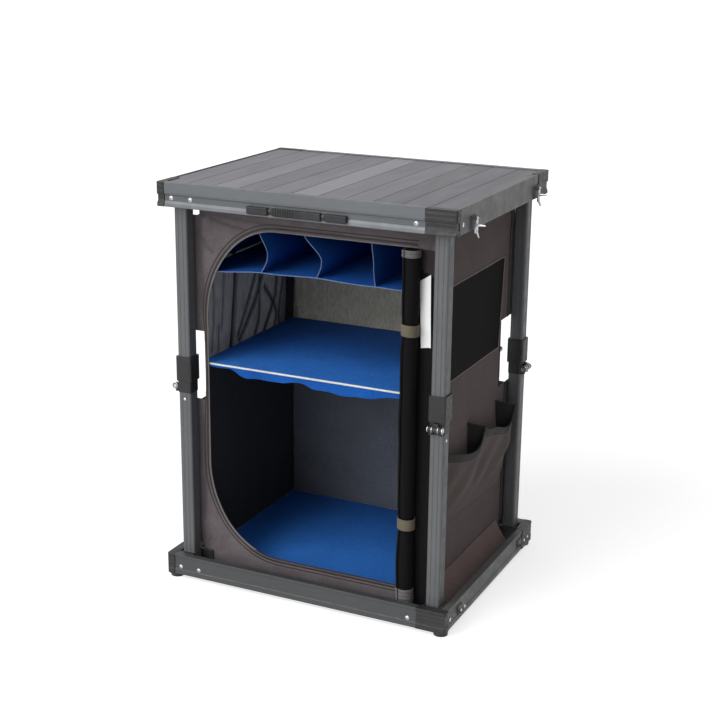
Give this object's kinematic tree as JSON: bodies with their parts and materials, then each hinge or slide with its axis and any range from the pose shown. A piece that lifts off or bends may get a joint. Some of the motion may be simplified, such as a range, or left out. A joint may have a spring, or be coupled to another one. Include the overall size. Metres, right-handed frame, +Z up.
{
  "type": "folding camp kitchen table",
  "caption": "Slatted camp kitchen table on mid-hinged legs that folds flat on its base frame, with a fabric cabinet, a middle shelf, a hanging organiser and side pockets.",
  "frame": {"origin": "On the floor under the middle of the table's footprint.", "axes": "X runs to the right along the front, Y runs to the back, Z is up."},
  "size_m": [0.665, 0.5044, 0.822],
  "materials": {
    "rail_grey": "grey powder coat, satin",
    "tube_grey": "grey powder coat, satin",
    "slat_grey": "grey anodised, fine grain",
    "black_plastic": "moulded, fine texture",
    "black_rubber": "matte",
    "steel": "plain zinc plate",
    "chrome": "polished",
    "blue_board": "woven cover over a stiff board",
    "blue_fabric": "woven",
    "taupe_fabric": "coated canvas weave",
    "grey_mesh": "fine net",
    "black_mesh": "fine net, rolled"
  },
  "bodies": {
    "base": {"base_corner_fl": "black_plastic", "base_corner_fr": "black_plastic", "base_corner_br": "black_plastic", "base_corner_bl": "black_plastic", "base_front_rail": "rail_grey", "base_right_rail": "rail_grey", "base_rear_rail": "rail_grey", "base_left_rail": "rail_grey", "base_cross_frame": "rail_grey", "bottom_shelf_board": "blue_board", "cabinet_front_panel": "taupe_fabric", "cabinet_back_panel": "grey_mesh", "cabinet_left_panel": "grey_mesh", "cabinet_right_panel": "taupe_fabric", "side_pockets": "taupe_fabric", "rolled_door": "black_mesh"},
    "middle_shelf": {"middle_shelf_board": "blue_board", "shelf_valance": "blue_fabric"},
    "fl_lower": {"fl_lower_tube": "tube_grey", "fl_lower_fitting": "black_plastic", "fl_hinge_pin": "steel"},
    "fl_upper": {"fl_upper_tube": "tube_grey", "fl_upper_fitting": "black_plastic"},
    "fl_sleeve": {"fl_lock_sleeve": "black_plastic"},
    "fr_lower": {"fr_lower_tube": "tube_grey", "fr_lower_fitting": "black_plastic", "fr_hinge_pin": "steel"},
    "fr_upper": {"fr_upper_tube": "tube_grey", "fr_upper_fitting": "black_plastic"},
    "fr_sleeve": {"fr_lock_sleeve": "black_plastic"},
    "br_lower": {"br_lower_tube": "tube_grey", "br_lower_fitting": "black_plastic", "br_hinge_pin": "steel"},
    "br_upper": {"br_upper_tube": "tube_grey", "br_upper_fitting": "black_plastic"},
    "br_sleeve": {"br_lock_sleeve": "black_plastic"},
    "bl_lower": {"bl_lower_tube": "tube_grey", "bl_lower_fitting": "black_plastic", "bl_hinge_pin": "steel"},
    "bl_upper": {"bl_upper_tube": "tube_grey", "bl_upper_fitting": "black_plastic"},
    "bl_sleeve": {"bl_lock_sleeve": "black_plastic"},
    "top_frame": {"top_corner_fl": "black_plastic", "top_corner_fr": "black_plastic", "top_corner_br": "black_plastic", "top_corner_bl": "black_plastic", "top_front_rail": "rail_grey", "top_right_rail": "rail_grey", "top_rear_rail": "rail_grey", "top_left_rail": "rail_grey", "tabletop_slats": "slat_grey", "handle_cap_left": "black_plastic", "handle_cap_right": "black_plastic", "handle_band": "black_plastic", "organiser": "blue_fabric"},
    "carry_handle": {"handle_grip": "black_rubber"},
    "latch_right_front": {"latch_lever_right_front": "chrome"},
    "latch_right_rear": {"latch_lever_right_rear": "chrome"},
    "latch_left_front": {"latch_lever_left_front": "chrome"},
    "latch_left_rear": {"latch_lever_left_rear": "chrome"}
  },
  "joints": [
    {"name": "leg_fold", "type": "hinge", "parent": "base", "child": "fl_lower", "pos_m": [-0.272, -0.212, 0.026], "axis": [0, 1, 0], "range_deg": [0, 90], "deforming": ["cabinet_front_panel", "cabinet_back_panel", "cabinet_left_panel", "cabinet_right_panel", "side_pockets", "rolled_door", "organiser"]},
    {"name": "fl_knee", "type": "hinge", "parent": "fl_lower", "child": "fl_upper", "pos_m": [-0.2933, -0.212, 0.409], "axis": [0, 1, 0], "range_deg": [-180, 0]},
    {"name": "fl_top", "type": "hinge", "parent": "fl_upper", "child": "top_frame", "pos_m": [-0.272, -0.212, 0.792], "axis": [0, 1, 0], "range_deg": [0, 90]},
    {"name": "fr_foot", "type": "hinge", "parent": "base", "child": "fr_lower", "pos_m": [0.272, -0.212, 0.026], "axis": [-1, 0, 0], "range_deg": [0, 90]},
    {"name": "fr_knee", "type": "hinge", "parent": "fr_lower", "child": "fr_upper", "pos_m": [0.272, -0.2333, 0.409], "axis": [-1, 0, 0], "range_deg": [-180, 0]},
    {"name": "br_foot", "type": "hinge", "parent": "base", "child": "br_lower", "pos_m": [0.272, 0.212, 0.026], "axis": [0, -1, 0], "range_deg": [0, 90]},
    {"name": "br_knee", "type": "hinge", "parent": "br_lower", "child": "br_upper", "pos_m": [0.2933, 0.212, 0.409], "axis": [0, -1, 0], "range_deg": [-180, 0]},
    {"name": "bl_foot", "type": "hinge", "parent": "base", "child": "bl_lower", "pos_m": [-0.272, 0.212, 0.026], "axis": [1, 0, 0], "range_deg": [0, 90]},
    {"name": "bl_knee", "type": "hinge", "parent": "bl_lower", "child": "bl_upper", "pos_m": [-0.272, 0.2333, 0.409], "axis": [1, 0, 0], "range_deg": [-180, 0]},
    {"name": "shelf_drop", "type": "slide", "parent": "base", "child": "middle_shelf", "axis": [0, 0, -1], "range_m": [0, 0.4089], "deforming": ["shelf_valance"]},
    {"name": "fl_sleeve_slide", "type": "slide", "parent": "fl_upper", "child": "fl_sleeve", "axis": [0, 0, 1], "range_m": [0, 0.06]},
    {"name": "fr_sleeve_slide", "type": "slide", "parent": "fr_upper", "child": "fr_sleeve", "axis": [0, 0, 1], "range_m": [0, 0.06]},
    {"name": "br_sleeve_slide", "type": "slide", "parent": "br_upper", "child": "br_sleeve", "axis": [0, 0, 1], "range_m": [0, 0.06]},
    {"name": "bl_sleeve_slide", "type": "slide", "parent": "bl_upper", "child": "bl_sleeve", "axis": [0, 0, 1], "range_m": [0, 0.06]},
    {"name": "handle_pull", "type": "slide", "parent": "top_frame", "child": "carry_handle", "axis": [0, -1, 0], "range_m": [0, 0.02], "deforming": ["handle_band"]},
    {"name": "latch_right_front_swing", "type": "hinge", "parent": "top_frame", "child": "latch_right_front", "pos_m": [0.3155, -0.172, 0.797], "axis": [0, -1, 0], "range_deg": [0, 90]},
    {"name": "latch_right_rear_swing", "type": "hinge", "parent": "top_frame", "child": "latch_right_rear", "pos_m": [0.3155, 0.172, 0.797], "axis": [0, -1, 0], "range_deg": [0, 90]},
    {"name": "latch_left_front_swing", "type": "hinge", "parent": "top_frame", "child": "latch_left_front", "pos_m": [-0.3155, -0.172, 0.797], "axis": [0, 1, 0], "range_deg": [0, 90]},
    {"name": "latch_left_rear_swing", "type": "hinge", "parent": "top_frame", "child": "latch_left_rear", "pos_m": [-0.3155, 0.172, 0.797], "axis": [0, 1, 0], "range_deg": [0, 90]}
  ],
  "couplings": [
    {"joint": "fl_knee", "follows": "leg_fold", "ratio": -2},
    {"joint": "fl_top", "follows": "leg_fold", "ratio": 1},
    {"joint": "fr_foot", "follows": "leg_fold", "ratio": 1},
    {"joint": "fr_knee", "follows": "leg_fold", "ratio": -2},
    {"joint": "br_foot", "follows": "leg_fold", "ratio": 1},
    {"joint": "br_knee", "follows": "leg_fold", "ratio": -2},
    {"joint": "bl_foot", "follows": "leg_fold", "ratio": 1},
    {"joint": "bl_knee", "follows": "leg_fold", "ratio": -2},
    {"joint": "shelf_drop", "follows": "leg_fold", "m_per_rad": 0.2603}
  ]
}
